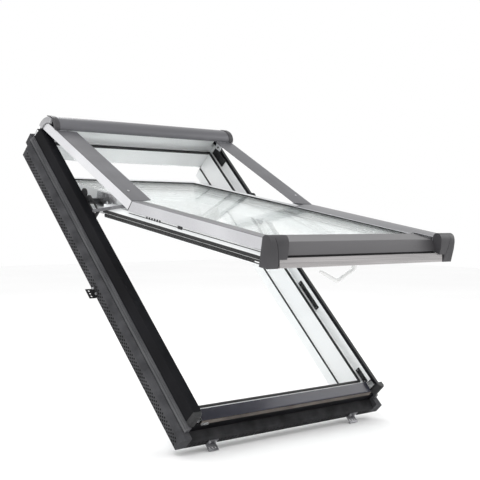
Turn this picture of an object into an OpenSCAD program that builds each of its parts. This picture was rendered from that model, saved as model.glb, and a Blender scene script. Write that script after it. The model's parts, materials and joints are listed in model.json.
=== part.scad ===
// High-pivot roof window with its outer frame, shown open as fitted in a pitched roof.
// Millimetres. X runs across the window, +Z is up, and the origin is the middle of the
// sill's back face. Every section is drawn in the window's own plane first:
// x across, y up the slope, z out of the roof, with z = 0 at the cladding's inner edge.

/* [Roof and opening] */
// Pitch of the roof that the window lies in, degrees
roof_pitch = 45; // [15:1:60]
// Angle of the open sash from its closed place, degrees
open_angle = 35.7; // [0:0.1:35.7]
// Angle that the cover frame is lifted when the sash is fully open, degrees
cover_angle = 16.4; // [16.4:0.1:16.4]

/* [Frame] */
// Overall width of the frame over its side claddings
frame_w = 744; // [640:1:980]
// Length of the frame's opening from sill gasket to head gasket
opening_h = 1032; // [980:1:1300]
// Depth of the frame behind the cladding's inner edge
frame_depth = 128; // [120:1:150]
// Depth of the rebate floor behind the cladding's inner edge
rebate_depth = 41; // [38:1:46]
// Width of the rebate from gasket to side wall
rebate_w = 16; // [16:0.5:20]
// Thickness of the aluminium claddings
cladding_t = 1.8; // [1.2:0.1:2.4]
// Reach of the insulation collar beyond the frame
collar_w = 33.5; // [25:0.5:45]
// Projection of the foot collar below the sill
foot_out = 23.4; // [20:0.5:40]

/* [Sash] */
// Height of the closed sash's top plane over the cladding's inner edge
sash_top = 39; // [39:0.5:44]
// Depth of the sash profile below its top plane
sash_depth = 74; // [70:0.5:76]
// Length of the sash from its cover joint up to its top rail
upper_len = 542; // [500:1:542]
// Thickness of the insulating glass unit
glass_unit_t = 24; // [20:0.5:26]
// Thickness of one pane
pane_t = 4; // [3:0.5:6]
// Height of the sash's side skirts
skirt_h = 31; // [24:0.5:31]

/* [Hinges] */
// Distance of the sash pivot up the slope from the cover joint
pivot_up = 249; // [230:1:260]
// Depth of the sash pivot below the sash's top plane
pivot_below = 40; // [36:0.5:42]
// Radius of the sash pivot pins
pivot_r = 4.5; // [3.5:0.1:5]
// Radius of the hood hinge pins
hood_pin_r = 4; // [3:0.1:4.5]
// Radius of the link pins
link_pin_r = 3; // [2.5:0.1:3.4]
// Running clearance of a pin in its bore, on the radius
pin_gap = 0.05; // [0.02:0.01:0.1]

/* [Hood] */
// Radius of the fixed rear hood about its hinge
hood_r = 59; // [58:0.5:64]
// Gap between the fixed and the moving hood sheets
hood_gap = 1.5; // [1:0.1:3]

/* [Hidden] */
$fn = 48;
cut = 1;            // how far a cutting tool runs past the face it opens
far = 3000;         // longer than any part
wall = 3;           // wall of the plastic profiles
contact_gap = 0.3;  // gap between a seal and what it closes on

// Widths are half widths, from the middle of the window.
clad_out = frame_w / 2;                 // outer foot of the side cladding
clad_ridge = clad_out - 5;              // its rounded ridge
wall_u = clad_out - 27;                 // side wall of the rebate
gasket_u = wall_u - rebate_w;           // middle of the rebate gasket
reveal_u = gasket_u - 26;               // clear half width of the frame
core_u = clad_out - 7.5;                // outer face of the plastic frame
collar_u = core_u + collar_w;           // outer face of the insulation collar
gasket_w = 6;
ridge_z = -8;
clad_foot_z = -39;
collar_top_z = -60;
collar_low_z = -102;

// Places up the slope.
foot_y = -foot_out;
sill_gasket_y = 55;
head_gasket_y = sill_gasket_y + opening_h;
sill_wall_y = sill_gasket_y - rebate_w;
head_wall_y = head_gasket_y + rebate_w;
sill_core_y = 6;
sill_front_y = 8.9;
sill_top_z = -23;
sill_back_y = sill_gasket_y + 25;
head_core_y = head_wall_y + 27;
frame_end_y = head_core_y + 26;
clad_end_y = head_wall_y + 15;
datum_y = (sill_core_y + sill_back_y) / 2;

// Sash, cover and links in their closed places.
hood_y = head_gasket_y - 14;
hood_z = 2;
pivot_z = sash_top - pivot_below;
knee_y = head_gasket_y - 5 - upper_len;
lower_len = knee_y + 1;   // the sash runs down to the sill's front
pivot_y = knee_y + pivot_up;
skirt_u = clad_out - 12.5;
skirt_t = 1.6;
sash_u = reveal_u - 3;
glass_u = sash_u - 12;
stile_w = 50;
rail_w = 62;         // the lower rail is wider, for the handle
profile_u = wall_u - 1;
glass_top = -12;
glass_low_s = lower_len - 63;
rail_low_s = lower_len - 47;
arm_gap = 42.5;
seam_lean = 16;      // slant of the seam between the sash skirt and the arm
arm_end_y = knee_y + arm_gap;
arm_inner_u = sash_u - 14;
link_u = wall_u + 3.3;
link_t = 4;
link_bar_r = 4.5;
link_head_y = arm_end_y + 14.5;
link_head_z = 16;
foot_open_y = pivot_y - 52;
foot_open_z = 10;
lever_x = 92;
lever_s = lower_len - 95;
seal_up_s = 160;

function at_s(s) = knee_y - s;
function unit(v) = v / norm(v);
function side_of(a, b) = let (d = unit(b - a)) [-d[1], d[0]];
function mitre(a, b, c, t) = let (p = side_of(a, b), m = unit(p + side_of(b, c))) m * t / (m * p);
function shifted(p, t) = [for (i = [0:len(p) - 1])
    p[i] + (i == 0 ? side_of(p[0], p[1]) * t
        : i == len(p) - 1 ? side_of(p[i - 1], p[i]) * t
        : mitre(p[i - 1], p[i], p[i + 1], t))];
function sheet(p, t) = let (q = shifted(p, t)) concat(p, [for (i = [len(p) - 1:-1:0]) q[i]]);
function arc(c, ry, rz, a, b, steps) = [for (i = [0:steps])
    let (t = a + (b - a) * i / steps) c + [ry * cos(t), rz * sin(t)]];
function turned(p, c, a) = c + [(p - c)[0] * cos(a) - (p - c)[1] * sin(a),
    (p - c)[0] * sin(a) + (p - c)[1] * cos(a)];

// The link reaches from its pin on the arm to its foot when the window is open.
hood_axis = [hood_y, hood_z];
link_head = [link_head_y, link_head_z];
link_head_open = turned(link_head, hood_axis, -cover_angle);
foot_open = [foot_open_y, foot_open_z];
link_len = norm(foot_open - link_head_open);
link_open_slope = atan2((foot_open - link_head_open)[1], (foot_open - link_head_open)[0]);
open_share = open_angle / 35.7;

module along_y(a, b) translate([0, b, 0]) rotate([90, 0, 0]) linear_extrude(b - a) children();
module along_x(a, b) translate([a, 0, 0]) rotate([90, 0, 90]) linear_extrude(b - a) children();
module on_roof() rotate([roof_pitch, 0, 0]) translate([0, -datum_y, frame_depth]) children();
module left_of() mirror([1, 0, 0]) children();
module both() {
    children();
    mirror([1, 0, 0]) children();
}
module turn_about(y, z, a) translate([0, y, z]) rotate([a, 0, 0]) translate([0, -y, -z]) children();
module on_sash() on_roof() turn_about(pivot_y, pivot_z, -open_angle) children();
module on_cover() on_roof() turn_about(hood_y, hood_z, -cover_angle * open_share) children();
module sash_level() translate([0, 0, sash_top]) children();
module block(x, y, z) translate([x[0], y[0], z[0]]) cube([x[1] - x[0], y[1] - y[0], z[1] - z[0]]);
module pin_x(a, b, y, z, r) translate([a, y, z]) rotate([0, 90, 0]) cylinder(h = b - a, r = r);
module prism_z(points) translate([0, 0, -far / 2]) linear_extrude(far) polygon(points);
module ring_z(u, y, w, z) {
    // a flat band w wide on each side of the rectangle u by y
    difference() {
        block([-u - w, u + w], [y[0] - w, y[1] + w], z);
        block([-u + w, u - w], [y[0] + w, y[1] - w], [z[0] - cut, z[1] + cut]);
    }
}

// ---- frame ----

module stile_section() {
    difference() {
        polygon([[wall_u, -11.3], [wall_u + 2.4, -11.3], [wall_u + 2.4, -5], [wall_u + 16, -10], [core_u - 1, -14], [core_u, -18],
            [core_u, -frame_depth], [reveal_u, -frame_depth], [reveal_u, -97],
            [reveal_u + 3, -97], [reveal_u + 3, -92], [reveal_u + 5, -92], [gasket_u - 4, -rebate_depth - 4],
            [gasket_u - 4, -rebate_depth], [wall_u, -rebate_depth]]);
        polygon([[wall_u + wall, -14.5], [wall_u + 13, -16], [core_u - wall, -20],
            [core_u - wall, -rebate_depth + wall], [wall_u + wall, -rebate_depth + wall]]);
        polygon([[gasket_u, -rebate_depth - 7], [core_u - wall, -rebate_depth - 7],
            [core_u - wall, -84], [gasket_u - 14, -84]]);
        polygon([[gasket_u - 15, -87], [core_u - wall, -87],
            [core_u - wall, -frame_depth + wall], [reveal_u + wall, -frame_depth + wall],
            [reveal_u + wall + 1, -97]]);
    }
}

module sill_section() {
    difference() {
        polygon([[sill_core_y, -frame_depth], [sill_core_y, sill_top_z - 16],
            [sill_core_y + 1.5, sill_top_z - 16], [sill_core_y + 1.5, sill_top_z - 5.2],
            [sill_wall_y, sill_top_z - 1.8], [sill_wall_y, -rebate_depth],
            [sill_gasket_y + 4, -rebate_depth], [sill_gasket_y + 4, -rebate_depth - 4],
            [sill_back_y - 4, -92], [sill_back_y - 3, -92], [sill_back_y - 3, -97],
            [sill_back_y, -97],
            [sill_back_y, -frame_depth]]);
        polygon([[sill_core_y + wall + 1.5, -rebate_depth - 3], [sill_wall_y - wall, -rebate_depth - 3],
            [sill_wall_y - wall, sill_top_z - 6], [sill_core_y + wall + 1.5, sill_top_z - 9],
            [sill_core_y + wall + 1.5, sill_top_z - 16]]);
        polygon([[sill_core_y + wall, -84], [sill_gasket_y + 14, -84],
            [sill_gasket_y, -rebate_depth - 7], [sill_core_y + wall, -rebate_depth - 7]]);
        polygon([[sill_core_y + wall, -frame_depth + wall], [sill_back_y - wall, -frame_depth + wall],
            [sill_back_y - wall - 1, -97], [sill_gasket_y + 15, -87], [sill_core_y + wall, -87]]);
    }
}

module head_section() {
    difference() {
        polygon([[head_core_y, -22], [head_core_y, -frame_depth], [head_gasket_y + 19, -frame_depth],
            [head_gasket_y - 14, -95], [head_gasket_y - 14, -92],
            [head_gasket_y - 3, -rebate_depth - 4], [head_gasket_y - 3, -rebate_depth],
            [head_wall_y, -rebate_depth], [head_wall_y, 10], [head_wall_y + 9, 10],
            [head_wall_y + 9, -22]]);
        polygon([[head_wall_y + wall, -28], [head_wall_y + wall, -rebate_depth + wall],
            [head_core_y - wall, -rebate_depth + wall], [head_core_y - wall, -28]]);
        polygon([[head_core_y - wall, -rebate_depth - 7], [head_core_y - wall, -84],
            [head_gasket_y - 7, -84], [head_gasket_y + 1, -rebate_depth - 7]]);
        polygon([[head_core_y - wall, -87], [head_core_y - wall, -frame_depth + wall],
            [head_gasket_y + 20, -frame_depth + wall], [head_gasket_y - 9, -96], [head_gasket_y - 9, -87]]);
    }
}

// The corners are mitred from the clear opening out to the plastic frame's outer side.
module stile_bounds() {
    reach = core_u - gasket_u;
    inner = gasket_u - reveal_u + 3;
    prism_z([[core_u, sill_gasket_y - reach], [core_u, head_gasket_y + reach],
        [gasket_u - inner, head_gasket_y - inner], [gasket_u - inner, sill_gasket_y + inner]]);
}
module cross_bounds(y_gasket, out) {
    reach = core_u - gasket_u;
    inner = gasket_u - reveal_u + 3;
    prism_z([[core_u, y_gasket + out * reach], [core_u, y_gasket + out * 200],
        [-core_u, y_gasket + out * 200], [-core_u, y_gasket + out * reach],
        [-gasket_u + inner, y_gasket - out * inner], [gasket_u - inner, y_gasket - out * inner]]);
}
module gasket_groove() {
    ring_z(gasket_u, [sill_gasket_y, head_gasket_y], gasket_w / 2, [-rebate_depth - 3, -rebate_depth + cut]);
}

module frame_stile() color("white") on_roof() difference() {
    intersection() {
        along_y(0, frame_end_y) stile_section();
        stile_bounds();
    }
    gasket_groove();
}
module frame_stile_right() frame_stile();
module frame_stile_left() color("white") left_of() frame_stile();

module frame_head() color("white") on_roof() difference() {
    intersection() {
        along_x(-core_u, core_u) head_section();
        cross_bounds(head_gasket_y, 1);
    }
    gasket_groove();
    // room for the cladding and the hood hinges at both ends
    both() block([wall_u - 10, core_u + cut], [head_wall_y - cut, head_core_y + cut], [-22, 20]);
}

module frame_sill() color("white") on_roof() difference() {
    intersection() {
        along_x(-core_u, core_u) sill_section();
        cross_bounds(sill_gasket_y, -1);
    }
    gasket_groove();
    // the side rebates drain out over the sill's ends
    both() block([gasket_u + 5.5, core_u + cut], [sill_core_y - cut, sill_wall_y + cut],
        [-rebate_depth, 0]);
}

module side_cladding() color("#1b1a1e") on_roof() {
    along_y(sill_core_y + 14, clad_end_y) polygon(sheet([[wall_u + 0.2, -11], [wall_u + 0.2, 0],
        [clad_ridge - 2, ridge_z + 1.2], [clad_ridge, ridge_z - 1],
        [clad_out, clad_foot_z + 1], [clad_out + 2, clad_foot_z - 1]], -cladding_t));
}
module side_cladding_right() side_cladding();
module side_cladding_left() color("#1b1a1e") left_of() side_cladding();

module sill_cladding() color("#2a2b38") on_roof() {
    end = gasket_u + 5;
    along_x(-end, end) polygon(sheet([[sill_front_y - 3, sill_top_z - 15],
        [sill_front_y - 3, sill_top_z - 3.6], [sill_front_y, sill_top_z - 2.2],
        [sill_wall_y, sill_top_z]], -1.5));
}

module head_flashing() color("#1b1a1e") on_roof() {
    along_x(-core_u, core_u) polygon(sheet([[head_core_y - 7, -20.5], [head_core_y + 1.5, -20.5],
        [head_core_y + 1.5, collar_top_z], [head_core_y + 14, collar_top_z]], -1.5));
}

module flange() color("#a9a9b0") on_roof() {
    along_y(sill_core_y - 8, clad_end_y + 4) polygon([[core_u, clad_foot_z - 3],
        [clad_out + 2, clad_foot_z - 3], [clad_out + 2.5, -48], [clad_out + 4, -48.8],
        [clad_out + 5, -55], [clad_out + 7, -56.5], [clad_out + 7.5, collar_top_z],
        [core_u, collar_top_z]]);
}
module flange_right() flange();
module flange_left() color("#a9a9b0") left_of() flange();

// The foam collar has a bevelled outer edge and a bevelled top corner.
module insulation_side() color("#8b8b8f") on_roof() difference() {
    intersection() {
        along_y(foot_y, clad_end_y + 7) polygon([[core_u, collar_top_z],
            [clad_out + 12, collar_top_z], [collar_u, collar_top_z - 10],
            [collar_u, collar_low_z], [core_u, collar_low_z]]);
        prism_z([[0, foot_y], [collar_u, foot_y], [collar_u, clad_end_y - 22],
            [clad_out + 2, clad_end_y + 7], [0, clad_end_y + 7]]);
    }
    screw_holes();
}
module insulation_right() insulation_side();
module insulation_left() color("#8b8b8f") left_of() insulation_side();

module insulation_head() color("#8b8b8f") on_roof()
    block([-core_u, core_u], [head_core_y, frame_end_y], [collar_low_z, collar_top_z - 1.5]);

module insulation_sill() color("#3c3b3e") on_roof() difference() {
    along_x(-core_u, core_u) polygon([[foot_y, collar_low_z], [foot_y, collar_low_z + 20],
        [foot_y + 6, collar_low_z + 26], [sill_core_y, collar_low_z + 30], [sill_core_y, collar_low_z]]);
    screw_holes();
}

module rebate_gasket() color("#151515") on_roof() {
    crest = sash_depth - sash_top + contact_gap;
    ring_z(gasket_u, [sill_gasket_y, head_gasket_y], gasket_w / 2, [-rebate_depth - 3, -crest - 2]);
    ring_z(gasket_u, [sill_gasket_y, head_gasket_y], gasket_w / 2 - 1, [-crest - 2, -crest]);
}

module lining_gasket() color("#151515") on_roof() difference() {
    block([-reveal_u - 3, reveal_u + 3], [sill_back_y - 3, head_gasket_y - 23.5], [-97, -92]);
    block([-reveal_u, reveal_u], [sill_back_y, head_gasket_y], [-97 - cut, -92 + cut]);
}

// Cast base with the sash pivot pin, and the slot that guides the foot of the link.
module hinge_base() color("#202022") on_roof() {
    in_u = wall_u - 5;
    difference() {
        union() {
            block([in_u, wall_u], [pivot_y - 67, pivot_y + 30], [-rebate_depth + 5, 6]);
            block([in_u, wall_u], [pivot_y - 67, pivot_y - 1], [6, 21]);
            pin_x(in_u, wall_u, pivot_y + 30, 4, 14);
            pin_x(in_u, wall_u, pivot_y - 1, 10, 11);
        }
        block([in_u - cut, wall_u + cut], [foot_open_y - 4.5, pivot_y - 5], [0.4, 18]);
    }
    pin_x(sash_u + 3.5, in_u, pivot_y, pivot_z, 9);
    pin_x(sash_u + 0.3, sash_u + 3.5, pivot_y, pivot_z, pivot_r);
}
module hinge_base_right() hinge_base();
module hinge_base_left() color("#202022") left_of() hinge_base();

// Each strike plate has its middle, its length and the places of its raised ramps.
strike_places = [[68, 52, [0]], [397.5, 115, [-40.5, 35.5]]];
strike_t = 4;
strike_z = -30;
module strike_shape(y, length, ramps) {
    face = wall_u - strike_t;
    difference() {
        union() {
            block([face, wall_u], [y - length / 2, y + length / 2], [strike_z - 7, strike_z + 7]);
            for (ramp = ramps) along_y(y + ramp - 8, y + ramp + 8) polygon([[face, strike_z - 6],
                [face - 2.5, strike_z - 3], [face - 2.5, strike_z + 3], [face, strike_z + 6]]);
        }
        for (end = [-1, 1]) pin_x(face - cut, wall_u + cut, y + end * (length / 2 - 5), strike_z, 2.5);
    }
}
module lock_strikes() color("#1c1c1e") on_roof() both()
    for (place = strike_places) strike_shape(place[0], place[1], place[2]);
module strike_screws() color("#e8e8e8") on_roof() both()
    for (place = strike_places) for (end = [-1, 1])
        pin_x(wall_u - strike_t - 0.8, wall_u, place[0] + end * (place[1] / 2 - 5), strike_z, 2.5);

module sill_corners() color("#141416") on_roof() both() {
    hull() {
        translate([clad_out - 9, sill_core_y + 3, -40]) cylinder(h = 38, r = 10, $fn = 32);
        translate([clad_out - 9, sill_core_y + 3, -40]) cylinder(h = 40, r = 8.5, $fn = 32);
        block([wall_u + 2, clad_out], [sill_core_y + 6, sill_core_y + 13.4], [-40, -1.2]);
    }
}

module sill_drip_strip() color("#4a423c") on_roof() {
    along_x(-gasket_u - 5, gasket_u + 5) polygon([[sill_front_y - 5.8, sill_top_z - 18],
        [sill_front_y - 4.8, sill_top_z - 6], [sill_front_y - 3, sill_top_z - 6],
        [sill_front_y - 3, sill_top_z - 16], [sill_core_y, sill_top_z - 16],
        [sill_core_y, sill_top_z - 18]]);
}

module sill_clip() color("#d9dde0") on_roof()
    translate([-gasket_u - 4, sill_front_y - 9.8, sill_top_z - 18]) cube([22, 4, 7]);

bracket_l = 34;
module bracket_shape() {
    // drawn lying at the origin: back leaf up z, foot leaf out along x, length along y
    difference() {
        union() {
            block([0, 2], [-bracket_l / 2, bracket_l / 2], [0, 18]);
            block([0, 22], [-bracket_l / 2, bracket_l / 2], [-2, 0]);
        }
        for (y = [-10, 0, 10]) translate([13, y, -3]) cylinder(h = 4, r = 3);
        for (y = [-10, 10]) translate([-1, y, 10]) rotate([0, 90, 0]) cylinder(h = 4, r = 2.25);
    }
}
bracket_up = 515;
bracket_x = 278;
module bracket_places() {
    for (s = [1, -1]) {
        scale_side = s > 0 ? 0 : 1;
        mirror([scale_side, 0, 0]) translate([collar_u, bracket_up, collar_low_z]) children();
        translate([s * bracket_x, foot_y, collar_low_z]) rotate([0, 0, -90]) children();
    }
}
module screw_holes() bracket_places() for (y = [-10, 10])
    translate([-16, y, 10]) rotate([0, 90, 0]) cylinder(h = 17, r = 2.25);
module mounting_brackets() color("#b9bcc0") on_roof() bracket_places() bracket_shape();
module bracket_screws() color("#c9ccd0") on_roof() bracket_places()
    for (y = [-10, 10]) {
        translate([-16, y, 10]) rotate([0, 90, 0]) cylinder(h = 18, r = 2.2);
        translate([2, y, 10]) rotate([0, 90, 0]) cylinder(h = 2, r = 4);
    }

// ---- hood and cover frame ----

hood_end = skirt_u + 5;
rear_low = -17.5;
cap_low = -8;
module hood_rear() color("#75757a") on_roof() {
    low = arc(hood_axis, hood_r, hood_r, rear_low, rear_low, 1)[0];
    along_x(-hood_end + 7, hood_end - 7) polygon(sheet(concat(
        [[head_wall_y + 9, low[1] - 2], [low[0], low[1] - 2]],
        arc(hood_axis, hood_r, hood_r, rear_low, 71, 20)), 1.5));
}
module hood_rear_caps() color("#b4b4ba") on_roof() both()
    along_x(hood_end - 7, hood_end)
        polygon(concat(arc(hood_axis, hood_r, hood_r, cap_low, 71, 18),
            arc(hood_axis, 41, 41, 71, cap_low, 14)));

function hood_curve(in) = concat(
    arc(hood_axis, hood_r + hood_gap + 1.5 - in, hood_r + hood_gap + 1.5 - in, 62, 90, 7),
    arc([hood_y, sash_top - 0.5], 33 - in, hood_r + hood_gap + 2 - sash_top + hood_z - in, 93, 180, 20));
module hood_front() color("#77777b") on_cover() {
    outer = hood_curve(0);
    inner = hood_curve(1.5);
    along_x(-hood_end + 18, hood_end - 18) polygon(concat(outer,
        [for (i = [len(inner) - 1:-1:0]) inner[i]]));
}
module hood_cap() color("#8d8d92") on_cover() {
    rim = hood_curve(-1.5);
    inner = hood_curve(1.5);
    along_x(hood_end - 18, hood_end) polygon(concat(rim,
        [for (i = [len(inner) - 1:-1:0]) inner[i]]));
    along_x(hood_end - 4, hood_end) polygon(concat(hood_curve(1.5),
        arc(hood_axis, hood_r + 1, hood_r + 1, 90, 74, 4)));
}
module hood_cap_right() hood_cap();
module hood_cap_left() color("#8d8d92") left_of() hood_cap();

arm_wall = 2.5;
arm_low_z = sash_top - skirt_h;
module arm() color("#e6e6ea") on_cover() difference() {
    union() {
        // side wall with a rounded end about the hood hinge
        along_x(skirt_u - arm_wall, skirt_u) polygon(concat(
            [[arm_end_y + 4.5, arm_low_z]], arc(hood_axis, 39, 39, 9, 62, 10),
            [[arm_end_y, sash_top - 1.8]]));
        // top ledge under the cover
        block([skirt_u - 24, skirt_u - arm_wall], [arm_end_y + 6, hood_y - 36],
            [sash_top - 4.6, sash_top - 1.8]);
        // lug that carries the link pin
        pin_x(skirt_u - 6.5, skirt_u - arm_wall, link_head_y, link_head_z, 8);
        pin_x(link_u - 1.6, skirt_u - 6.5, link_head_y, link_head_z, link_pin_r);
        // leaf that turns on the hood hinge
        block([wall_u - 8.5, wall_u - 5], [hood_y - 14, hood_y + 14], [hood_z - 9, 30]);
        block([wall_u - 8.5, skirt_u - arm_wall], [hood_y - 14, hood_y + 14], [27, 30]);
    }
    pin_x(wall_u - 9.5, wall_u - 4, hood_y, hood_z, hood_pin_r + pin_gap);
}
module arm_right() arm();
module arm_left() color("#e6e6ea") left_of() arm();

module arm_cover() color("#7d7d83") on_cover() difference() {
    along_y(arm_end_y, hood_y - 35) polygon([[skirt_u, sash_top - 1.8], [skirt_u, sash_top - 0.6],
        [skirt_u - 1, sash_top - 0.3], [skirt_u - 38, sash_top], [arm_inner_u, sash_top - 1.8],
        [arm_inner_u, sash_top - 3.2], [skirt_u - 37.6, sash_top - 1.8]]);
    // slanting lower end
    prism_z([[0, 0], [skirt_u - 40, arm_end_y + 0.1], [arm_inner_u - 1, arm_end_y + 9], [0, arm_end_y + 9]]);
    translate([skirt_u - 24, arm_end_y + 58, sash_top - 6]) cylinder(h = 12, r = 2.6);
}
module arm_cover_right() arm_cover();
module arm_cover_left() color("#7d7d83") left_of() arm_cover();

module arm_screws() color("#3a3a3e") on_cover() both() {
    translate([skirt_u - 24, arm_end_y + 58, sash_top - 1.6]) cylinder(h = 2, r = 2.6);
    translate([skirt_u - 24, arm_end_y + 58, sash_top - 14]) cylinder(h = 9.4, r = 2);
}

module arm_end_seals() color("#101012") on_cover() both() {
    along_x(skirt_u - arm_wall, skirt_u) polygon([[arm_end_y + 2.5, arm_low_z],
        [arm_end_y + 4.5, arm_low_z], [arm_end_y, sash_top - 1.8], [arm_end_y - 2, sash_top - 1.8]]);
    block([skirt_u - 38, skirt_u - arm_wall], [arm_end_y - 2, arm_end_y], [sash_top - 4, sash_top - 1.8]);
}

// Hinge leaf on the frame's rebate wall, with the hood hinge pin.
module cover_hinges() color("#1e1e20") on_roof() both() {
    block([wall_u - 4.5, wall_u], [hood_y - 60, hood_y + 12], [-rebate_depth + 5, -6]);
    block([wall_u - 4.5, wall_u], [hood_y - 12, hood_y + 12], [-6, hood_z + 10]);
    pin_x(wall_u - 8.6, wall_u - 4.5, hood_y, hood_z, hood_pin_r);
}

// ---- links ----

// The bar lies along +y from its head pin at the arm; its foot pin runs in the hinge base.
module link_bar() color("#5a5a60") on_cover() {
    closed_slope = link_open_slope + cover_angle;
    translate([0, link_head_y, link_head_z]) rotate([closed_slope, 0, 0]) {
        difference() {
            union() {
                block([link_u, link_u + link_t], [0, link_len], [-link_bar_r, link_bar_r]);
                pin_x(link_u, link_u + link_t, 0, 0, link_bar_r + 2);
                pin_x(link_u, link_u + link_t, link_len, 0, link_bar_r);
            }
            pin_x(link_u - cut, link_u + link_t + cut, 0, 0, link_pin_r + pin_gap);
        }
        pin_x(wall_u - 4, link_u, link_len, 0, link_pin_r);
    }
}
module link_bar_right() link_bar();
module link_bar_left() color("#5a5a60") left_of() link_bar();

// ---- sash ----

rail_top = -5.8;
seat_n = glass_top - glass_unit_t - 2.5;
module sash_section(wall_top, width) {
    // x is the distance inwards from the sash's outer face, y the depth below the top plane
    difference() {
        polygon([[0, wall_top], [10, wall_top - 2.7], [10, seat_n], [width - 4, seat_n],
            [width, seat_n - 4], [width, -sash_depth + 8], [width - 6, -sash_depth],
            [0, -sash_depth]]);
        polygon([[wall, wall_top - wall], [10 - wall, wall_top - wall - 2], [10 - wall, seat_n - wall],
            [22, seat_n - wall], [22, -sash_depth + wall], [wall, -sash_depth + wall]]);
        polygon([[22 + wall, seat_n - wall], [width - 5, seat_n - wall],
            [width - wall, seat_n - 5], [width - wall, -sash_depth + 9],
            [width - 7, -sash_depth + wall], [22 + wall, -sash_depth + wall]]);
    }
}
sash_low_y = at_s(rail_low_s);
sash_high_y = at_s(-upper_len);
module sash_stile() color("#f4f4f2") on_sash() difference() {
    intersection() {
        sash_level() along_y(sash_low_y, sash_high_y) translate([sash_u, 0]) mirror([1, 0])
            sash_section(rail_top, stile_w);
        prism_z([[sash_u, sash_low_y], [sash_u, sash_high_y],
            [sash_u - stile_w, sash_high_y - stile_w], [sash_u - stile_w, sash_low_y + stile_w]]);
    }
    // the front cladding passes over the lower corner
    block([sash_u - 10 - cut, sash_u + cut], [sash_low_y - cut, at_s(lower_len - 69)],
        [sash_top - 10.8, sash_top]);
}
module sash_stile_right() sash_stile();
module sash_stile_left() color("#f4f4f2") left_of() sash_stile();
module sash_rail(y, inward, wall_top, width) {
    side = sash_u - stile_w;
    intersection() {
        sash_level() along_x(-sash_u, sash_u) translate([y, 0])
            mirror([inward > 0 ? 0 : 1, 0]) sash_section(wall_top, width);
        prism_z([[-sash_u, y], [sash_u, y], [side, y + inward * stile_w],
            [side, y + inward * (width + cut)], [-side, y + inward * (width + cut)],
            [-side, y + inward * stile_w]]);
    }
}
module sash_top_rail() color("#f4f4f2") on_sash() sash_rail(sash_high_y, -1, rail_top, stile_w);
module sash_bottom_rail() color("#f4f4f2") on_sash() sash_rail(sash_low_y, 1, -10.8, rail_w);

// Extra profile along the lower half that closes over the frame's rebate.
module side_profile() {
    top = -skirt_h - 3;
    low_y = at_s(rail_low_s + 5);
    up_y = at_s(-seal_up_s);
    sash_level() {
        along_y(low_y, up_y) polygon([[sash_u, top], [profile_u, top], [profile_u, top - 16],
            [profile_u - 6, top - 16], [profile_u - 6, top - 30], [profile_u - 9, top - 30],
            [profile_u - 9, top - 35], [profile_u - 6, top - 35], [profile_u - 6, -sash_depth],
            [gasket_u - 6, -sash_depth], [gasket_u - 6, top - 22], [sash_u, top - 22]]);
        along_y(at_s(lower_len), low_y) polygon([[profile_u - 9.2, top - 1], [profile_u, top - 1],
            [profile_u, top - 16], [profile_u - 6, top - 16], [profile_u - 6, -sash_depth + 1],
            [profile_u - 9.2, -sash_depth + 1]]);
    }
}
module sash_side_profiles() color("#fafafa") on_sash() both() side_profile();

module pane(n, t) block([-glass_u, glass_u], [at_s(glass_low_s), sash_high_y - 12], [n - t, n]);
module glass_outer() color("#cfe3dc", 0.45) on_sash() sash_level() pane(glass_top, pane_t);
module glass_inner() color("#cfe3dc", 0.45) on_sash() sash_level()
    pane(glass_top - glass_unit_t + pane_t, pane_t);
module glass_spacer() color("#47494c") on_sash() sash_level() difference() {
    pane(glass_top - pane_t, glass_unit_t - 2 * pane_t);
    block([-glass_u + 13, glass_u - 13], [at_s(glass_low_s) + 13, sash_high_y - 25],
        [glass_top - glass_unit_t, glass_top]);
}
module glazing_gasket() color("#242426") on_sash() sash_level() {
    low = at_s(glass_low_s);
    high = sash_high_y - 12;
    difference() {
        block([-sash_u + 10, sash_u - 10], [low - 2, high + 2], [glass_top, glass_top + 2.4]);
        block([-glass_u + 5, glass_u - 5], [low + 5, high - 5], [glass_top - cut, glass_top + 4]);
    }
    difference() {
        block([-glass_u, glass_u], [low, high], [seat_n, glass_top - glass_unit_t]);
        block([-glass_u + 8, glass_u - 8], [low + 8, high - 8], [seat_n - cut, glass_top - glass_unit_t + cut]);
    }
}

// Lower side cladding: skirt, two-facet top and a tongue that slips under the arm cover.
module sash_cladding() color("#c9c9ce") on_sash() sash_level() {
    difference() {
        along_y(at_s(lower_len), knee_y + seam_lean) polygon(sheet([[skirt_u, -skirt_h],
            [skirt_u, -1.5], [skirt_u - 1.5, 0], [skirt_u - 38, 0],
            [glass_u - 5, -7], [glass_u - 5, glass_top + 2.6]], skirt_t));
        // the upper end slants with the seam against the arm
        along_x(0, far) polygon([[knee_y, 0.5], [knee_y, 0], [knee_y + seam_lean, -skirt_h],
            [knee_y + seam_lean + cut, -skirt_h - cut], [knee_y + seam_lean + cut, 0.5]]);
        block([glass_u - 6, sash_u + 0.3], [at_s(lower_len) - cut, at_s(lower_len - 68.3)], [-12, 1]);
    }
    along_y(knee_y - 30, knee_y + arm_gap + 6) block2([skirt_u - 42, wall_u], [-6.6, -5]);
    along_y(knee_y - 30, knee_y - 1) block2([skirt_u - 42, wall_u], [-5, -1.4]);
}
module block2(x, y) translate([x[0], y[0]]) square([x[1] - x[0], y[1] - y[0]]);
module sash_cladding_right() sash_cladding();
module sash_cladding_left() color("#c9c9ce") left_of() sash_cladding();

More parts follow.
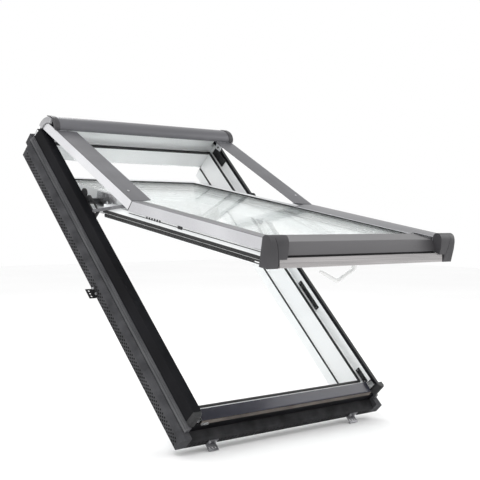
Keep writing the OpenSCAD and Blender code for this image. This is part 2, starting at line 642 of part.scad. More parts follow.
front_u = sash_u;
module sash_front_cladding() color("#5f5d61") on_sash() sash_level() {
    along_x(-front_u, front_u) polygon(sheet([[at_s(lower_len + 11), -45], [at_s(lower_len + 12.5), -43.5],
        [at_s(lower_len - 2), -13], [at_s(lower_len - 5), -11.6], [at_s(lower_len - 67), -7.4],
        [at_s(lower_len - 67), glass_top + 2.6]], -1.6));
}
module sash_front_carrier() color("#101012") on_sash() sash_level() {
    along_x(-front_u, front_u) polygon([[at_s(rail_low_s), -14], [at_s(lower_len - 4), -16],
        [at_s(lower_len + 9), -44.5], [at_s(lower_len + 9), -47], [at_s(lower_len + 20), -48.5],
        [at_s(lower_len + 20), -52], [at_s(lower_len + 5), -52], [at_s(lower_len + 5), -70.4],
        [at_s(lower_len - 1), -70.4], [at_s(lower_len - 1), -56], [at_s(rail_low_s), -56]]);
}
module sash_front_strip() color("#b9b6b6") on_sash() sash_level() {
    along_x(-front_u - 20, front_u + 20) polygon(sheet([[at_s(lower_len + 20.2), -47],
        [at_s(lower_len + 25), -47], [at_s(lower_len + 28.7), -69.3], [at_s(lower_len + 26), -72],
        [at_s(lower_len), -72]], 1.6));
}

// End cap: a dome over the cladding's corner, whose outer cheek reaches down past the strip.
cap_dome = [[0, -50], [30.5, -50], [32, -34], [31.6, -16], [30, -7], [27, 0], [23, 4.8], [18, 7.6],
    [12, 8.4], [7, 7], [3, 4], [0, -0.5]];
cap_cheek = [[0, -72], [28.5, -72], [30.5, -50], [32, -34], [31.6, -16], [30, -7], [27, 0],
    [23, 4.8], [18, 7.6], [12, 8.4], [7, 7], [3, 4], [0, -0.5]];
function cap_line(p) = [for (q = p) [at_s(lower_len + q[0]), q[1]]];
module end_cap() color("#57555a") on_sash() sash_level() difference() {
    union() {
        along_x(front_u + 24, skirt_u + 2.5) polygon(cap_line(cap_cheek));
        along_x(front_u, front_u + 24) polygon(cap_line(cap_dome));
    }
    // room for the front cladding's and the carrier's ends
    block([front_u - cut, front_u + 20.2], [at_s(lower_len + 26), at_s(lower_len) + cut], [-60, -46.8]);
    // slanting joint line on the face
    translate([front_u + 46, at_s(lower_len + 40), 12]) rotate([0, 16, 0])
        block([-0.5, 0.5], [0, 16], [-100, 0]);
}
module sash_end_cap_right() end_cap();
module sash_end_cap_left() color("#57555a") left_of() end_cap();

module sash_seals() color("#131314") on_sash() sash_level() {
    top = -skirt_h - 19;
    both() along_y(at_s(lower_len), at_s(-seal_up_s)) block2([profile_u - 6, profile_u + 0.6], [top - 9, top]);
    both() along_y(at_s(rail_low_s + 5), at_s(-seal_up_s))
        block2([profile_u - 9, profile_u - 5.9], [top - 18.8, top - 14.2]);
    along_x(-gasket_u + 8, gasket_u - 8) translate([sash_low_y - 6, top - 9]) square([6, 3]);
    along_x(-sash_u, sash_u) translate([sash_high_y, -30]) square([1.5, 6]);
}

// Plate on the sash's outer face that turns on the frame's pivot pin.
module sash_hinge_plates() color("#dcdcdc") on_sash() both() difference() {
    block([sash_u, sash_u + 3], [pivot_y - 88, pivot_y + 13], [pivot_z - 12, pivot_z + 30]);
    pin_x(sash_u - cut, sash_u + 4, pivot_y, pivot_z, pivot_r + pin_gap);
    for (y = [-78, -56, -34, -12]) pin_x(sash_u - cut, sash_u + 4, pivot_y + y, pivot_z + 22, 3);
    for (y = [-70, -44]) pin_x(sash_u - cut, sash_u + 4, pivot_y + y, pivot_z + 3, 5);
    along_x(sash_u - cut, sash_u + 4) polygon([[pivot_y - 89, pivot_z + 31],
        [pivot_y - 89, pivot_z + 18], [pivot_y - 76, pivot_z + 31]]);
}

module lock_rods() color("#1d1d1f") on_sash() sash_level() both() {
    top = -skirt_h - 1;
    block([profile_u - 12, profile_u + 3], [at_s(124), at_s(48)], [top - 2, top]);
    for (i = [0:5]) block([profile_u, profile_u + 0.7], [at_s(118 - i * 12), at_s(112 - i * 12)], [top - 9, top - 2]);
    block([profile_u, profile_u + 0.7], [at_s(215), at_s(195)], [top - 11, top - 2]);
    block([profile_u - 12, profile_u + 5], [at_s(215), at_s(195)], [top - 2, top]);
}

module handle_base() color("#f0f0ee") on_sash() sash_level() {
    y = at_s(lever_s);
    difference() {
        union() {
            hull() for (x = [-26, 26]) translate([lever_x + x, y, -sash_depth - 9]) cylinder(h = 9, r = 13, $fn = 32);
            translate([lever_x, y, -sash_depth - 22]) cylinder(h = 13, r = 11);
        }
        translate([lever_x, y, -sash_depth - 22 - cut]) cylinder(h = 14, r = 5 + pin_gap);
    }
}
module lever_bar(a, b) hull() {
    for (p = [a, b]) translate([p[0], at_s(lever_s), p[1]]) rotate([90, 0, 0])
        cylinder(h = 20, r = 5, center = true, $fn = 32);
}
module handle_lever() color("#eeeeec") on_sash() sash_level() {
    y = at_s(lever_s);
    root = -sash_depth - 22.3;
    translate([lever_x, y, root - 16]) cylinder(h = 16, r = 10.5);
    translate([lever_x, y, root]) cylinder(h = 12, r = 5);
    lever_bar([lever_x, root - 18], [lever_x - 60, root - 48]);
    lever_bar([lever_x - 60, root - 48], [lever_x - 135, root - 18]);
}

frame_stile_left();
frame_stile_right();
frame_head();
frame_sill();
side_cladding_left();
side_cladding_right();
sill_cladding();
head_flashing();
flange_left();
flange_right();
insulation_left();
insulation_right();
insulation_head();
insulation_sill();
rebate_gasket();
lining_gasket();
hinge_base_left();
hinge_base_right();
lock_strikes();
strike_screws();
sill_corners();
sill_drip_strip();
sill_clip();
mounting_brackets();
bracket_screws();
hood_rear();
hood_rear_caps();
cover_hinges();
hood_front();
hood_cap_left();
hood_cap_right();
arm_left();
arm_right();
arm_cover_left();
arm_cover_right();
arm_screws();
arm_end_seals();
link_bar_left();
link_bar_right();
sash_stile_left();
sash_stile_right();
sash_top_rail();
sash_bottom_rail();
sash_side_profiles();
glass_outer();
glass_inner();
glass_spacer();
glazing_gasket();
sash_cladding_left();
sash_cladding_right();
sash_front_cladding();
sash_front_carrier();
sash_front_strip();
sash_end_cap_left();
sash_end_cap_right();
sash_seals();
sash_hinge_plates();
lock_rods();
handle_base();
handle_lever();
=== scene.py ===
# %% [markdown]
# # A high-pivot roof window
# The window lies in a roof of 45 degrees with its sash swung open. The engineering
# model already holds every profile, sheet, hinge and pane at its real size. This
# lesson dresses that model: it rounds the edges that light catches, adds the small
# fittings, and gives every piece a finish with its own grain.

# %% Load the frame and measure it
import json
import math
import bpy
from mathutils import Matrix, Vector


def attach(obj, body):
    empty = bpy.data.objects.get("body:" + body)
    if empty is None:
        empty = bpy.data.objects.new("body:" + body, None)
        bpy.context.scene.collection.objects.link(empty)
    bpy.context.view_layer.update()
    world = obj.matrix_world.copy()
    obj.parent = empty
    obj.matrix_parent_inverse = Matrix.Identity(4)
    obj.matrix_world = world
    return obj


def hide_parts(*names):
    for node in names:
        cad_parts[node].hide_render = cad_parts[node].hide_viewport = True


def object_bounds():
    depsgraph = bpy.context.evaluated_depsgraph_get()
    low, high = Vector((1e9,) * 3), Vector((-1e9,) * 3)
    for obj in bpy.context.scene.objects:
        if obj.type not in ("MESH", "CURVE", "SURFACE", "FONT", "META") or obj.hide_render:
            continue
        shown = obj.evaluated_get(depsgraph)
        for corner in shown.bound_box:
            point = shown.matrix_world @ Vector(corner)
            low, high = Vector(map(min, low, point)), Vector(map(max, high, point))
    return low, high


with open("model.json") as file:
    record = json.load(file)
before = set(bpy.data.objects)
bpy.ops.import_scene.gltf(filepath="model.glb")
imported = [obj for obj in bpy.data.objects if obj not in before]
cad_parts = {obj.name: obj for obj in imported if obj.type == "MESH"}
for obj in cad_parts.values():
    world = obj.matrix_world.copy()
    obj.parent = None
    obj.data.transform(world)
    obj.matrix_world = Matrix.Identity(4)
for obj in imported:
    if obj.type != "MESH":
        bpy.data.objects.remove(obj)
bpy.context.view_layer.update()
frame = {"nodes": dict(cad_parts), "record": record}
nodes = frame["nodes"]
body_of_node = {}
for body_name, names in frame["record"]["behaviour"]["bodies"].items():
    for name in names:
        body_of_node[name] = body_name

# %% [markdown]
# Two directions are used again and again. `up_slope` runs from the sill to the head
# of the window, and `out_of_roof` points away from the roof. A point given in the
# window's own plane is turned into the model's place by one helper, so that every
# small fitting can be set by plain distances along and out of the roof.

# %% Directions in the roof and in the open sash
MM = 0.001
PITCH_DEGREES = 45
PITCH = math.radians(PITCH_DEGREES)
up_slope = Vector((0, math.cos(PITCH), math.sin(PITCH)))
out_of_roof = Vector((0, -math.sin(PITCH), math.cos(PITCH)))
SILL_MIDDLE, FRAME_DEPTH = 43.0, 128.0
roof_turn = Matrix.Rotation(PITCH, 4, "X")


def on_roof(across, along, out):
    """A place in the roof window's plane, in millimetres, as a model place in metres."""
    flat = Vector((across, along - SILL_MIDDLE, out + FRAME_DEPTH)) * MM
    return roof_turn @ flat


PIVOT = (789.0, -1.0)
HOOD_HINGE = (1073.0, 2.0)
SASH_SWING = -35.7
COVER_SWING = -16.4
COLLAR_HALF = 398.0
COLLAR_FOOT = -23.4
COVER_JOINT = 540.0


def swung(along, out, centre, degrees):
    """Turns a place about a hinge that runs across the window."""
    a = math.radians(degrees)
    y, z = along - centre[0], out - centre[1]
    return (centre[0] + y * math.cos(a) - z * math.sin(a),
            centre[1] + y * math.sin(a) + z * math.cos(a))


def on_sash(across, along, out):
    return on_roof(across, *swung(along, out, PIVOT, SASH_SWING))


def on_cover(across, along, out):
    return on_roof(across, *swung(along, out, HOOD_HINGE, COVER_SWING))


print("sill middle at", tuple(round(v, 3) for v in on_roof(0, 43, -128)))

# %% [markdown]
# A real finish is never one flat colour. Each one here is built the same way: a slow
# noise shifts the colour a little, a fine noise roughens the gloss, and a bump gives
# the grain that the process leaves, such as the orange peel of powder coating. The
# pattern can be stretched along one direction, as rolled or drawn metal is.

# %% A maker of finishes
def finish(name, colour, second, rough, metal=0.0, cloud=6.0, grain=900.0, bump=0.06,
           stretch=(1, 1, 1), rough_swing=0.08, coat=0.0, specular=0.5, depth=0.0002):
    material = bpy.data.materials.new(name)
    material.use_nodes = True
    tree = material.node_tree
    shader = tree.nodes["Principled BSDF"]
    shader.inputs["Metallic"].default_value = metal
    shader.inputs["Coat Weight"].default_value = coat
    shader.inputs["Coat Roughness"].default_value = 0.15
    shader.inputs["Specular IOR Level"].default_value = specular
    place = tree.nodes.new("ShaderNodeTexCoord")
    mapping = tree.nodes.new("ShaderNodeMapping")
    mapping.inputs["Scale"].default_value = stretch
    tree.links.new(place.outputs["Object"], mapping.inputs["Vector"])
    clouds = tree.nodes.new("ShaderNodeTexNoise")
    clouds.inputs["Scale"].default_value = cloud
    clouds.inputs["Detail"].default_value = 6
    tree.links.new(mapping.outputs["Vector"], clouds.inputs["Vector"])
    ramp = tree.nodes.new("ShaderNodeValToRGB")
    ramp.color_ramp.elements[0].position = 0.35
    ramp.color_ramp.elements[0].color = (*colour, 1)
    ramp.color_ramp.elements[1].position = 0.68
    ramp.color_ramp.elements[1].color = (*second, 1)
    tree.links.new(clouds.outputs["Fac"], ramp.inputs["Fac"])
    tree.links.new(ramp.outputs["Color"], shader.inputs["Base Color"])
    fine = tree.nodes.new("ShaderNodeTexNoise")
    fine.inputs["Scale"].default_value = grain
    fine.inputs["Detail"].default_value = 3
    tree.links.new(mapping.outputs["Vector"], fine.inputs["Vector"])
    gloss = tree.nodes.new("ShaderNodeMapRange")
    gloss.inputs["To Min"].default_value = max(0.02, rough - rough_swing)
    gloss.inputs["To Max"].default_value = min(1.0, rough + rough_swing)
    tree.links.new(fine.outputs["Fac"], gloss.inputs["Value"])
    tree.links.new(gloss.outputs["Result"], shader.inputs["Roughness"])
    relief = tree.nodes.new("ShaderNodeBump")
    relief.inputs["Strength"].default_value = bump
    relief.inputs["Distance"].default_value = depth
    tree.links.new(fine.outputs["Fac"], relief.inputs["Height"])
    tree.links.new(relief.outputs["Normal"], shader.inputs["Normal"])
    return material


# %% [markdown]
# The finishes of this window: extruded white plastic, powder-coated sheets in three
# greys, black moulded foam, rubber, cast and plated metal, and moulded plastic. The
# hood, arm-cover and front sheets get a pattern stretched across the window, as rolled sheet has.

# %% The finishes
white_pvc = finish("white_pvc", (0.86, 0.87, 0.88), (0.92, 0.93, 0.93), 0.26,
                   cloud=3.0, grain=500, bump=0.03, coat=0.2)
sash_pvc = finish("sash_white_pvc", (0.84, 0.86, 0.87), (0.93, 0.94, 0.94), 0.3,
                  cloud=4.0, grain=600, bump=0.04)
black_sheet = finish("black_coated_sheet", (0.003, 0.003, 0.004), (0.008, 0.008, 0.01), 0.45,
                     cloud=5.0, grain=1400, bump=0.08, specular=0.1)
sill_sheet = finish("sill_coated_sheet", (0.012, 0.012, 0.019), (0.038, 0.038, 0.052), 0.24,
                    cloud=2.2, grain=1400, bump=0.08, coat=0.12, specular=0.25)
flange_plastic = finish("flange_plastic", (0.05, 0.05, 0.055), (0.1, 0.1, 0.105), 0.42,
                        stretch=(30, 1, 1), cloud=9, grain=300, bump=0.15)
rear_cap_plastic = finish("rear_cap_plastic", (0.3, 0.3, 0.31), (0.42, 0.42, 0.43), 0.4,
                          cloud=9, grain=900, bump=0.15)
strip_plastic = finish("drip_strip", (0.06, 0.048, 0.04), (0.13, 0.11, 0.095), 0.6,
                       cloud=14, grain=700, bump=0.25)
rubber = finish("black_rubber", (0.006, 0.006, 0.006), (0.016, 0.016, 0.017), 0.55,
                cloud=30, grain=1200, bump=0.2)
cast_black = finish("black_casting", (0.008, 0.008, 0.009), (0.03, 0.03, 0.032), 0.38,
                    cloud=40, grain=1500, bump=0.35, metal=0.4)
plated = finish("plated_steel", (0.5, 0.5, 0.52), (0.72, 0.72, 0.73), 0.28, metal=1.0,
                cloud=25, grain=800, bump=0.1, stretch=(1, 1, 3))
bracket_steel = finish("bracket_steel", (0.14, 0.14, 0.15), (0.3, 0.3, 0.31), 0.35, metal=0.9,
                       cloud=25, grain=800, bump=0.15)
dark_steel = finish("dark_link_steel", (0.1, 0.1, 0.11), (0.24, 0.24, 0.25), 0.3, metal=0.9,
                    cloud=20, grain=900, bump=0.12)
grey_sheet = finish("grey_coated_sheet", (0.08, 0.08, 0.088), (0.115, 0.115, 0.125), 0.36,
                    metal=0.2, cloud=3, grain=1800, bump=0.1, stretch=(0.4, 3, 3))
silver_sheet = finish("silver_coated_sheet", (0.5, 0.5, 0.52), (0.62, 0.62, 0.64), 0.3,
                      metal=0.45, cloud=4, grain=1600, bump=0.08)
arm_sheet = finish("arm_pale_sheet", (0.66, 0.66, 0.68), (0.78, 0.78, 0.8), 0.3,
                   metal=0.25, cloud=4, grain=1500, bump=0.08)
brushed_strip = finish("brushed_front_strip", (0.3, 0.29, 0.29), (0.5, 0.48, 0.48), 0.3,
                       metal=0.7, cloud=5, grain=220, bump=0.12, stretch=(0.5, 40, 40))
grey_plastic = finish("grey_moulded_plastic", (0.032, 0.031, 0.034), (0.052, 0.05, 0.054), 0.45,
                      cloud=12, grain=2200, bump=0.3, specular=0.35)
front_sheet = finish("front_coated_sheet", (0.07, 0.068, 0.072), (0.095, 0.092, 0.097), 0.38,
                     metal=0.2, cloud=3, grain=1800, bump=0.08, stretch=(0.4, 3, 3))
top_sheet = finish("side_top_sheet", (0.13, 0.13, 0.14), (0.18, 0.18, 0.19), 0.36,
                   metal=0.3, cloud=4, grain=1600, bump=0.08)
dark_plastic = finish("dark_carrier_plastic", (0.005, 0.005, 0.006), (0.014, 0.014, 0.015),
                      0.5, cloud=12, grain=1500, bump=0.3)
handle_paint = finish("handle_white_paint", (0.82, 0.82, 0.81), (0.88, 0.88, 0.87), 0.2,
                      cloud=30, grain=700, bump=0.03, coat=0.5)
spacer_metal = finish("spacer_metal", (0.02, 0.02, 0.022), (0.06, 0.06, 0.065), 0.35,
                      metal=0.6, cloud=60, grain=900, bump=0.1)
print("finishes:", len(bpy.data.materials))

# %% [markdown]
# The collar is bead foam: thousands of round beads pressed into a block. A Voronoi
# pattern of small cells gives the beads as a bump with rounded cells, and a slow noise
# shifts the colour slightly. The block is dark grey, as foam with graphite is.

# %% Bead foam
def bead_foam(name, low, high):
    material = finish(name, low, high, 0.72, cloud=18, grain=260, bump=0.35, depth=0.0006, specular=0.15)
    tree = material.node_tree
    place = next(n for n in tree.nodes if n.type == "TEX_COORD")
    beads = tree.nodes.new("ShaderNodeTexVoronoi")
    beads.inputs["Scale"].default_value = 190
    tree.links.new(place.outputs["Object"], beads.inputs["Vector"])
    relief = next(n for n in tree.nodes if n.type == "BUMP")
    tree.links.new(beads.outputs["Distance"], relief.inputs["Height"])
    relief.invert = True
    return material


foam = bead_foam("graphite_bead_foam", (0.035, 0.035, 0.038), (0.07, 0.07, 0.075))
# The sill block takes the same bead foam in darker colours: painted shade for its face that looks down,
# away from the light.
sill_foam_painted_shade = bead_foam("sill_bead_foam_painted_shade", (0.012, 0.012, 0.013), (0.03, 0.03, 0.032))
# Near-black colour for the dimples: painted shade, standing for the shade inside each hollow.
painted_dimple_shade = bead_foam("painted_dimple_shades", (0.002, 0.002, 0.002), (0.005, 0.005, 0.005))

# %% [markdown]
# The glass has to let light through and still mirror the sky at a low angle. A clear
# shader with a faint green tint does both. It is made partly see-through, so that two
# panes behind each other stay bright, and a slow noise varies the tint very slightly.

# %% Glass
def clear_glass(name, tint, alpha):
    material = finish(name, tint, tuple(min(1, v * 1.04) for v in tint), 0.03, cloud=1.5,
                      grain=2.0, bump=0.0, rough_swing=0.005, depth=0.001)
    shader = material.node_tree.nodes["Principled BSDF"]
    shader.inputs["Transmission Weight"].default_value = 0.85
    shader.inputs["IOR"].default_value = 1.15
    shader.inputs["Alpha"].default_value = alpha
    return material


glass_out = clear_glass("outer_glass", (0.9, 0.97, 0.95), 0.45)
glass_in = clear_glass("inner_glass", (0.88, 0.96, 0.94), 0.15)
clear_clip = clear_glass("clear_clip", (0.85, 0.88, 0.9), 0.7)
print("glass ready")

# %% [markdown]
# Sheet and moulded parts never have knife edges. Each CAD piece is copied, its
# triangles are merged back into flat faces, and a narrow bevel rounds its edges, so
# that a thin line of light shows along them. The copy stands for the CAD piece, and
# rides on the same body. Width follows the process: small on sheet, larger on foam.

# %% Rounding the edges of a CAD piece
def only(piece):
    bpy.ops.object.select_all(action="DESELECT")
    piece.select_set(True)
    bpy.context.view_layer.objects.active = piece


def rounded(node_name, width_mm, material, segments=2):
    mesh = nodes[node_name].data.copy()
    mesh.materials.clear()
    mesh.materials.append(material)
    piece = bpy.data.objects.new(node_name + "_finished", mesh)
    bpy.context.scene.collection.objects.link(piece)
    only(piece)
    bpy.ops.object.mode_set(mode="EDIT")
    bpy.ops.mesh.select_all(action="SELECT")
    bpy.ops.mesh.remove_doubles(threshold=0.000005)
    bpy.ops.mesh.dissolve_limited(angle_limit=math.radians(0.5))
    bpy.ops.object.mode_set(mode="OBJECT")
    bevel = piece.modifiers.new("edges", "BEVEL")
    bevel.width = width_mm * MM
    bevel.segments = segments
    bevel.limit_method = "ANGLE"
    bevel.angle_limit = math.radians(28)
    bpy.ops.object.modifier_apply(modifier="edges")
    bpy.ops.object.shade_smooth_by_angle(angle=math.radians(32))
    flat = piece.modifiers.new("flat faces", "WEIGHTED_NORMAL")
    flat.keep_sharp = True
    bpy.ops.object.modifier_apply(modifier="flat faces")
    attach(piece, body_of_node[node_name])
    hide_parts(node_name)
    return piece


ROUNDED = {
    "frame_stile_left": (0.6, white_pvc), "frame_stile_right": (0.6, white_pvc),
    "frame_head": (0.6, white_pvc), "frame_sill": (0.6, white_pvc),
    "sash_stile_left": (0.8, sash_pvc), "sash_stile_right": (0.8, sash_pvc),
    "sash_top_rail": (0.8, sash_pvc), "sash_bottom_rail": (0.8, sash_pvc),
    "sash_side_profiles": (0.6, sash_pvc),
    "side_cladding_left": (0.35, black_sheet), "side_cladding_right": (0.35, black_sheet),
    "sill_cladding": (0.3, sill_sheet), "head_flashing": (0.3, black_sheet),
    "flange_left": (0.4, flange_plastic), "flange_right": (0.4, flange_plastic),
    "insulation_left": (2.5, foam), "insulation_right": (2.5, foam),
    # The sill foam is a darker copy of the collar foam: painted shade.
    "insulation_head": (2.0, foam), "insulation_sill": (2.5, sill_foam_painted_shade),
    "hinge_base_left": (0.5, cast_black), "hinge_base_right": (0.5, cast_black),
    "lock_strikes": (0.5, cast_black), "cover_hinges": (0.5, cast_black),
    "sill_corners": (0.5, dark_plastic), "sill_drip_strip": (0.4, strip_plastic),
    "sill_clip": (0.6, clear_clip), "mounting_brackets": (0.3, bracket_steel),
    "hood_rear": (0.25, grey_sheet), "hood_rear_caps": (0.6, rear_cap_plastic),
    "hood_front": (0.25, grey_sheet), "hood_cap_left": (0.4, grey_plastic),
    "hood_cap_right": (0.4, grey_plastic),
    "arm_left": (0.4, arm_sheet), "arm_right": (0.4, arm_sheet),
    "arm_cover_left": (0.3, grey_sheet), "arm_cover_right": (0.3, grey_sheet),
    "arm_end_seals": (0.3, rubber),
    "link_bar_left": (0.5, dark_steel), "link_bar_right": (0.5, dark_steel),
    "sash_cladding_left": (0.25, silver_sheet), "sash_cladding_right": (0.25, silver_sheet),
    "sash_front_cladding": (0.25, front_sheet), "sash_front_carrier": (0.4, dark_plastic),
    "sash_front_strip": (0.3, brushed_strip), "sash_end_cap_left": (1.2, grey_plastic),
    "sash_end_cap_right": (1.2, grey_plastic), "sash_hinge_plates": (0.3, plated),
    "lock_rods": (0.3, cast_black), "handle_base": (1.0, handle_paint),
}
made = {name: rounded(name, width, material) for name, (width, material) in ROUNDED.items()}
print("rounded pieces:", len(ROUNDED))

# %% [markdown]
# Some pieces show two finishes. The side sheets of the sash are darker on top than on
# their skirts, the white sill and the stiles' lower ends are black where the weather
# reaches them, and the angles beside the collar are black. Faces are picked by where
# they point or lie.

# %% Second finishes on single faces
def paint(piece, material, test):
    piece.data.materials.append(material)
    index = len(piece.data.materials) - 1
    for face in piece.data.polygons:
        if test(face.center, face.normal):
            face.material_index = index


def in_roof(place):
    """A model place as millimetres across, up the slope and out of the roof."""
    flat = roof_turn.inverted() @ place
    return (flat.x / MM, flat.y / MM + SILL_MIDDLE, flat.z / MM - FRAME_DEPTH)


SILL_FRONT, SILL_END, SILL_WALL, BARE_DEPTH, SIDE_ANGLE = 8.6, 333, 40, -60, 0.39


def sill_outside(place, normal):
    across, along, out = in_roof(place)
    return along < SILL_FRONT or (abs(across) > SILL_END and along < SILL_WALL)


sash_out = (on_sash(0, 300, 100) - on_sash(0, 300, 0)).normalized()
for side in ("left", "right"):
    paint(made["sash_cladding_" + side], top_sheet, lambda c, n: n.dot(sash_out) > 0.5)
    paint(made["frame_stile_" + side], black_sheet, lambda c, n: in_roof(c)[1] < SILL_WALL
          and (n.dot(up_slope) < -0.5 or in_roof(c)[2] > BARE_DEPTH))
paint(made["frame_sill"], black_sheet, sill_outside)
paint(made["mounting_brackets"], cast_black, lambda c, n: abs(c.x) > SIDE_ANGLE)
print("second finishes set")

# %% [markdown]
# Gaskets, seals, the spacer, the panes and the small screws already have their true
# section, and their edges are too fine to see. They keep the CAD mesh and only take a finish.

# %% Finishes on the pieces that keep their CAD mesh
PLAIN = {
    "rebate_gasket": rubber, "lining_gasket": rubber, "glazing_gasket": rubber,
    "sash_seals": rubber, "glass_spacer": spacer_metal, "strike_screws": plated,
    "arm_screws": plated, "bracket_screws": plated,
    "glass_outer": glass_out, "glass_inner": glass_in,
}
for node_name, material in PLAIN.items():
    mesh = nodes[node_name].data
    if not mesh.materials:
        mesh.materials.append(material)
    for index in range(len(mesh.materials)):
        nodes[node_name].material_slots[index].material = material
print("plain pieces:", len(PLAIN))

# %% [markdown]
# The handle is a bent bar, thicker at the elbow and flattened where fingers hold it.
# It is drawn as one smooth curve with a round section, as a forge would bend a rod,
# and a tapered neck joins it to the spindle under the rail.

# %% The bent handle
LEVER_ACROSS, LEVER_DOWN, SASH_TOP = 92.0, 446.0, 39.0
lever_points = [(0, -96, 5.5), (0, -108, 7.5), (-5, -115, 6.5), (-30, -127, 5.4),
                (-58, -142.5, 6.2), (-66, -143.5, 6.3), (-90, -133, 5.2), (-130, -116, 5.0),
                (-136, -114, 3.0)]


def bent_bar(name, points, material, body):
    curve = bpy.data.curves.new(name, "CURVE")
    curve.dimensions = "3D"
    curve.bevel_depth = MM
    curve.bevel_resolution = 5
    curve.use_fill_caps = True
    curve.resolution_u = 6
    line = curve.splines.new("NURBS")
    line.points.add(len(points) - 1)
    line.order_u = 3
    line.use_endpoint_u = True
    for point, (across, depth, radius) in zip(line.points, points):
        place = on_sash(LEVER_ACROSS + across, COVER_JOINT - LEVER_DOWN, SASH_TOP + depth)
        point.co = (*place, 1)
        point.radius = radius
    piece = bpy.data.objects.new(name, curve)
    bpy.context.scene.collection.objects.link(piece)
    only(piece)
    bpy.ops.object.convert(target="MESH")
    piece = bpy.context.object
    bpy.ops.object.shade_smooth_by_angle(angle=math.radians(40))
    piece.data.materials.append(material)
    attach(piece, body)
    return piece


lever = bent_bar("handle_bar", lever_points, handle_paint, "handle")
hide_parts("handle_lever")
print("handle faces:", len(lever.data.polygons))

# %% [markdown]
# Foam collars carry staggered rows of small dimples, where the mould's vents met the
# block. The shade inside each dimple is painted: one dimple is a thin near-black disc
# almost flush with the face. It is modelled once at its place and repeated along the
# slope and over the block's height with array modifiers, which are then applied.

# %% Dimples on the foam collar, with painted shade
DIMPLE_R, DIMPLE_RISE, DIMPLE_STEP = 3.0, 0.15, 13.0


def dimples(name, start, facing, step, count, rows, row_step, body="frame"):
    bpy.ops.object.select_all(action="DESELECT")
    turn = Vector((0, 0, 1)).rotation_difference(facing).to_euler()
    bpy.ops.mesh.primitive_cylinder_add(vertices=10, radius=DIMPLE_R * MM,
                                        depth=2 * DIMPLE_RISE * MM, location=start, rotation=turn)
    piece = bpy.context.object
    piece.name = name
    bpy.ops.object.transform_apply(location=True, rotation=True, scale=True)
    for label, amount, shift in (("along", count, step), ("rows", rows, row_step)):
        if amount < 2:
            continue
        copies = piece.modifiers.new(label, "ARRAY")
        copies.use_relative_offset = False
        copies.use_constant_offset = True
        copies.constant_offset_displace = shift
        copies.count = amount
        bpy.ops.object.modifier_apply(modifier=label)
    # The near-black finish on each disc is painted shade for the hollow of the dimple.
    piece.data.materials.append(painted_dimple_shade)
    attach(piece, body)
    return piece


for side, label in ((-1, "left"), (1, "right")):
    for row, shift in (("even", 0.0), ("odd", DIMPLE_STEP / 2)):
        start = on_roof(side * COLLAR_HALF, -8 + shift, -97 + shift * 0.92)
        dimples("foam_dimples_%s_%s" % (label, row), start, Vector((side, 0, 0)),
                up_slope * DIMPLE_STEP * MM, 84, 2, out_of_roof * 12 * MM)
sill_start = on_roof(-352, COLLAR_FOOT, -95)
dimples("foam_dimples_sill", sill_start, -up_slope, Vector((DIMPLE_STEP * MM, 0, 0)), 55,
        2, out_of_roof * 8 * MM)
print("dimple step:", DIMPLE_STEP, "mm")

# %% [markdown]
# Screws are what a close look finds first. One pan head is turned with a rounded rim
# and a round recess: the recess is inset into the top face and pushed down. The same
# recipe makes the heads on the arm covers and beside the collar, each at its own size.

# %% Recessed screw heads
def screw_head(name, place, facing, radius, rise, material, body):
    bpy.ops.object.select_all(action="DESELECT")
    turn = Vector((0, 0, 1)).rotation_difference(facing).to_euler()
    bpy.ops.mesh.primitive_cylinder_add(vertices=24, radius=radius * MM, depth=rise * MM,
                                        location=place + facing * rise * MM / 2, rotation=turn)
    head = bpy.context.object
    head.name = name
    bpy.ops.object.transform_apply(location=True, rotation=True, scale=True)
    bpy.ops.object.mode_set(mode="EDIT")
    bpy.ops.mesh.select_mode(type="FACE")
    bpy.ops.mesh.select_all(action="DESELECT")
    bpy.ops.object.mode_set(mode="OBJECT")
    for face in head.data.polygons:
        face.select = face.normal.dot(facing) > 0.9
    bpy.ops.object.mode_set(mode="EDIT")
    bpy.ops.mesh.inset(thickness=radius * 0.45 * MM, depth=0)
    bpy.ops.mesh.inset(thickness=radius * 0.12 * MM, depth=-rise * 0.4 * MM)
    bpy.ops.object.mode_set(mode="OBJECT")
    bevel = head.modifiers.new("rim", "BEVEL")
    bevel.width = rise * 0.25 * MM
    bevel.segments = 2
    bevel.limit_method = "ANGLE"
    bpy.ops.object.modifier_apply(modifier="rim")
    bpy.ops.object.shade_smooth_by_angle(angle=math.radians(35))
    head.data.materials.append(material)
    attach(head, body)
    return head


cover_out = on_cover(0, 700, 100) - on_cover(0, 700, 0)
cover_out.normalize()
for side, label in ((-1, "left"), (1, "right")):
    screw_head("arm_screw_head_" + label, on_cover(side * 335.5, 640.5, 39.2), cover_out,
               3.6, 1.2, plated, "cover")
    for index, along in enumerate((505, 525)):
        screw_head("bracket_head_%s_%d" % (label, index + 1),
                   on_roof(side * 402, along, -92), Vector((side, 0, 0)), 3.4, 1.0,
                   plated, "frame")
print("screw heads set")

# %% [markdown]
# The flange beside the frame is a folded plastic strip with fine ribs along its whole
# length. A rib is a long narrow bar with rounded edges. Bars like it also make the bead
# along the front strip, and thin black bars paint the shade in the grooves of the white reveal.

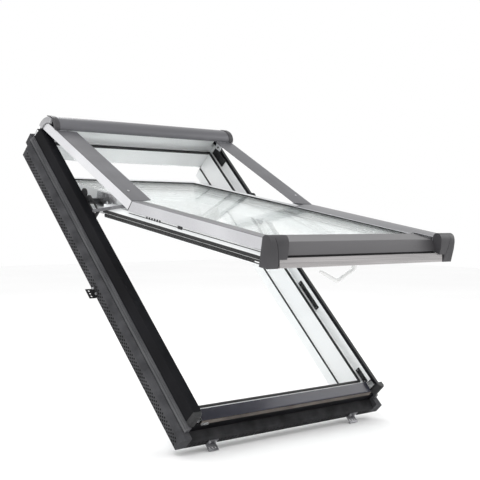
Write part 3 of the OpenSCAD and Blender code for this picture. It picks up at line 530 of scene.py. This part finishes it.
# %% Long ribs
def rib(name, corner_a, corner_b, turn_degrees, material, body, centre=None):
    """A bar between two opposite corners given in the window's plane, before any swing."""
    bpy.ops.object.select_all(action="DESELECT")
    middle = [(a + b) / 2 for a, b in zip(corner_a, corner_b)]
    size = [abs(a - b) * MM for a, b in zip(corner_a, corner_b)]
    if centre is None:
        place = on_roof(*middle)
    else:
        place = on_roof(middle[0], *swung(middle[1], middle[2], centre, turn_degrees))
    total = PITCH_DEGREES + (turn_degrees if centre is not None else 0)
    bpy.ops.mesh.primitive_cube_add(size=1, location=place,
                                    rotation=(math.radians(total), 0, 0))
    bar = bpy.context.object
    bar.name = name
    bar.scale = size
    bpy.ops.object.transform_apply(location=True, rotation=True, scale=True)
    bevel = bar.modifiers.new("edge", "BEVEL")
    bevel.width = min(size) * 0.3
    bevel.segments = 2
    bpy.ops.object.modifier_apply(modifier="edge")
    bpy.ops.object.shade_smooth_by_angle(angle=math.radians(35))
    bar.data.materials.append(material)
    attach(bar, body)
    return bar


for side, label in ((-1, "left"), (1, "right")):
    for index, (across, out) in enumerate(((377.2, -52.5), (375.2, -45.5))):
        rib("flange_rib_%s_%d" % (label, index + 1), (side * across, 2, out - 0.8),
            (side * (across + 1.6), 1116, out + 0.8), 0, flange_plastic, "frame")
    rib("sash_band_bead_" + label, (side * 343.6, 12, -1.5), (side * 344.6, 572, 0.5), SASH_SWING,
        rubber, "sash", centre=PIVOT)
    # Thin bars in the black rubber finish: painted shade in the two grooves along each sash side.
    for index, (low, high) in enumerate(((-27, -22.5), (-33, -30))):
        rib("sash_side_line_%s_%d" % (label, index + 1), (side * 337.6, 3, low),
            (side * 338.3, 698, high), SASH_SWING, rubber, "sash", centre=PIVOT)
rib("front_strip_bead", (-318, -27.2, -17.5), (318, -25.6, -15.5), SASH_SWING, plated, "sash",
    centre=PIVOT)
print("ribs set")

# %% [markdown]
# The floor is a wide plain sheet just under the lowest bracket. The light is soft and
# comes from all round, with one broad lamp above the left shoulder and a weaker one
# from the right, so that metal shows long highlights and nothing casts a hard shadow.

# %% Floor, world and lamps
low_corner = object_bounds()[0]
bpy.ops.object.select_all(action="DESELECT")
bpy.ops.mesh.primitive_plane_add(size=16, location=(0, 0, low_corner[2] - 0.002))
floor = bpy.context.object
floor.name = "floor"
floor.data.materials.append(finish("pale_floor", (0.95, 0.95, 0.95), (0.97, 0.97, 0.97), 0.8,
                                   cloud=1, grain=80, bump=0.01, specular=0.1))
world = bpy.data.worlds.new("studio")
bpy.context.scene.world = world
world.use_nodes = True
world.node_tree.nodes["Background"].inputs["Color"].default_value = (1, 1, 1, 1)
world.node_tree.nodes["Background"].inputs["Strength"].default_value = 1.0


def lamp(name, place, target, size, power):
    light = bpy.data.lights.new(name, "AREA")
    light.shape = "RECTANGLE"
    light.size, light.size_y = size
    light.energy = power
    holder = bpy.data.objects.new(name, light)
    bpy.context.scene.collection.objects.link(holder)
    holder.location = place
    holder.rotation_euler = (Vector(target) - Vector(place)).to_track_quat("-Z", "Y").to_euler()


lamp("key_lamp", (-2.2, -1.6, 2.6), (0, 0.3, 0.4), (1.6, 1.2), 38)
lamp("right_lamp", (2.6, -0.8, 1.6), (0, 0.4, 0.4), (1.2, 1.6), 18)
lamp("back_lamp", (0.4, 2.8, 2.6), (0, 0.4, 0.5), (2.0, 1.0), 26)
print("floor at", round(low_corner[2] - 0.002, 4))

# %% [markdown]
# The camera stands low and to the left of the window, nearly level, about three
# metres away, and looks along the slope's side. A long lens keeps the rails
# nearly parallel.

# %% Camera
camera_data = bpy.data.cameras.new("camera")
camera_data.sensor_width = 36
camera_data.lens = 73.76
camera_data.clip_end = 60
camera = bpy.data.objects.new("camera", camera_data)
bpy.context.scene.collection.objects.link(camera)
right = Vector((0.7456, -0.6662, 0.0102)).normalized()
forward = Vector((0.6663, 0.7452, -0.0279)).normalized()
upward = right.cross(forward).normalized()
right = forward.cross(upward).normalized()
turn = Matrix((right, upward, -forward)).transposed().to_4x4()
camera.matrix_world = Matrix.Translation((-1.9609, -2.0570, 0.5875)) @ turn
bpy.context.scene.camera = camera
bpy.context.scene.view_settings.view_transform = "Standard"
bpy.context.scene.view_settings.look = "None"
print("camera height:", camera.location.z)
